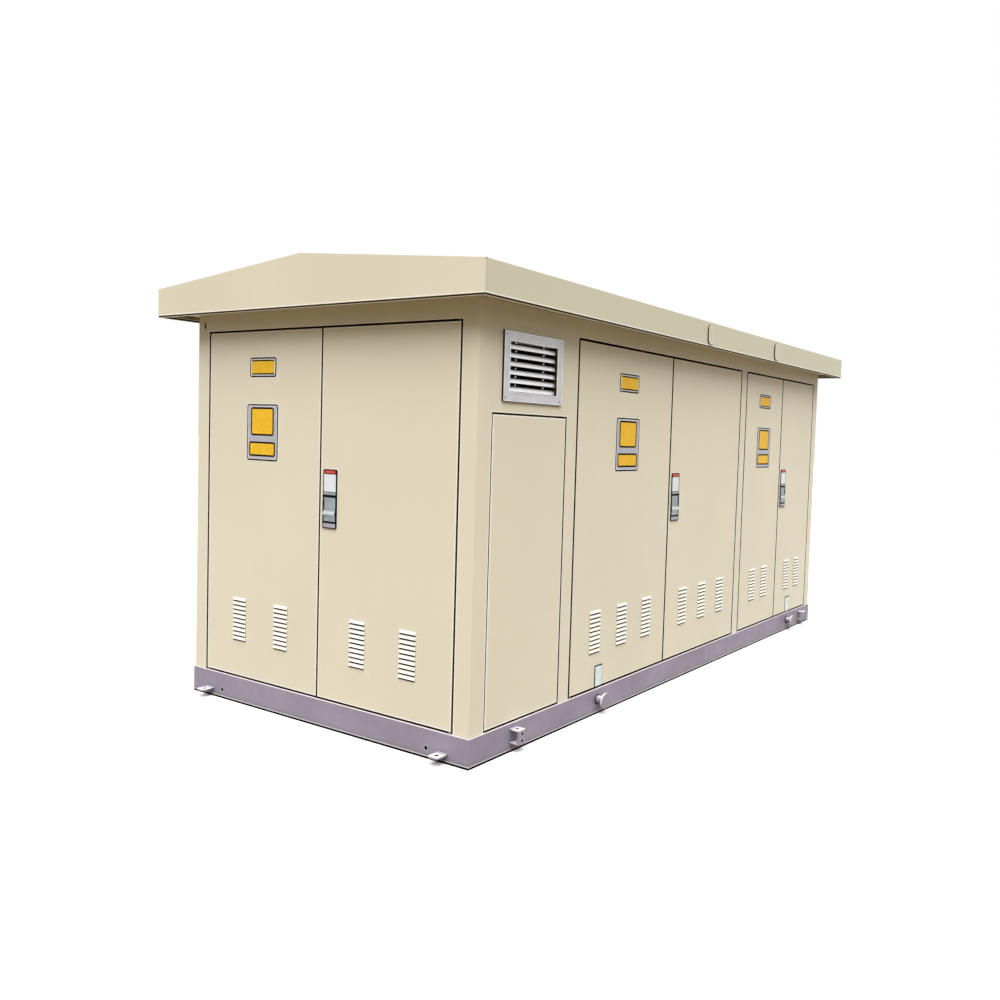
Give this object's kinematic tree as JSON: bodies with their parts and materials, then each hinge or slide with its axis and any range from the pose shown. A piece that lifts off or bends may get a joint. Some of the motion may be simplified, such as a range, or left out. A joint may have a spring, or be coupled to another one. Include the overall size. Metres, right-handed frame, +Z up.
{
  "type": "compact transformer substation housing",
  "caption": "Sheet-steel kiosk for an outdoor transformer substation: gabled roof, hinged doors with pressed vents, louvre window, channel base with lifting trunnions.",
  "frame": {"origin": "centre of the bounding box's underside, on the ground", "axes": "+X along the length, away from the end with the doors; -Y the long side with the doors; +Z up"},
  "size_m": [4.75, 2.341, 2.36],
  "materials": {
    "cream_paint": "cream polyester powder coat, satin",
    "base_paint": "mauve-grey primer paint, satin",
    "floor_steel": "grey painted steel plate",
    "aluminium": "satin anodised",
    "lock_grey": "grey die-cast zinc, satin"
  },
  "bodies": {
    "housing": {"base_frame": "base_paint", "door_back_main_left": "cream_paint", "door_back_main_right": "cream_paint", "door_back_side_left": "cream_paint", "door_back_side_right": "cream_paint", "door_far_end_left": "cream_paint", "door_far_end_right": "cream_paint", "floor_plate": "floor_steel", "header_back": "cream_paint", "header_far_end": "cream_paint", "header_front": "cream_paint", "header_near_end": "cream_paint", "lock_back_main": "lock_grey", "lock_back_side": "lock_grey", "lock_far_end": "lock_grey", "louvre_window_back": "aluminium", "louvre_window_front": "aluminium", "mullion_back_1": "cream_paint", "mullion_back_2": "cream_paint", "mullion_front_1": "cream_paint", "mullion_front_2": "cream_paint", "post_back_far": "cream_paint", "post_back_near": "cream_paint", "post_front_far": "cream_paint", "post_front_near": "cream_paint", "roof_frame": "cream_paint", "roof_shell": "cream_paint", "side_panel_back": "cream_paint", "side_panel_front": "cream_paint", "trunnion_back_far": "base_paint", "trunnion_back_near": "base_paint", "trunnion_front_far": "base_paint", "trunnion_front_near": "base_paint", "window_wall_back": "cream_paint", "window_wall_front": "cream_paint"},
    "door_near_end_right": {"door_near_end_right": "cream_paint", "lock_near_end": "lock_grey"},
    "door_near_end_left": {"door_near_end_left": "cream_paint"},
    "door_front_main_left": {"door_front_main_left": "cream_paint"},
    "door_front_main_right": {"door_front_main_right": "cream_paint", "lock_front_main": "lock_grey"},
    "door_front_side_left": {"door_front_side_left": "cream_paint"},
    "door_front_side_right": {"door_front_side_right": "cream_paint", "lock_front_side": "lock_grey"}
  },
  "joints": [
    {"name": "hinge_near_end_right", "type": "hinge", "parent": "housing", "child": "door_near_end_right", "pos_m": [-2.216, -0.8985, 0.149], "axis": [0, 0, 1], "range_deg": [0, 110]},
    {"name": "hinge_near_end_left", "type": "hinge", "parent": "housing", "child": "door_near_end_left", "pos_m": [-2.216, 0.8985, 0.149], "axis": [0, 0, -1], "range_deg": [0, 110]},
    {"name": "hinge_front_main_left", "type": "hinge", "parent": "housing", "child": "door_front_main_left", "pos_m": [-1.42, -1.0085, 0.149], "axis": [0, 0, -1], "range_deg": [0, 110]},
    {"name": "hinge_front_main_right", "type": "hinge", "parent": "housing", "child": "door_front_main_right", "pos_m": [0.609, -1.0085, 0.149], "axis": [0, 0, 1], "range_deg": [0, 90]},
    {"name": "hinge_front_side_left", "type": "hinge", "parent": "housing", "child": "door_front_side_left", "pos_m": [0.741, -1.0085, 0.149], "axis": [0, 0, -1], "range_deg": [0, 90]},
    {"name": "hinge_front_side_right", "type": "hinge", "parent": "housing", "child": "door_front_side_right", "pos_m": [2.106, -1.0085, 0.149], "axis": [0, 0, 1], "range_deg": [0, 110]}
  ]
}
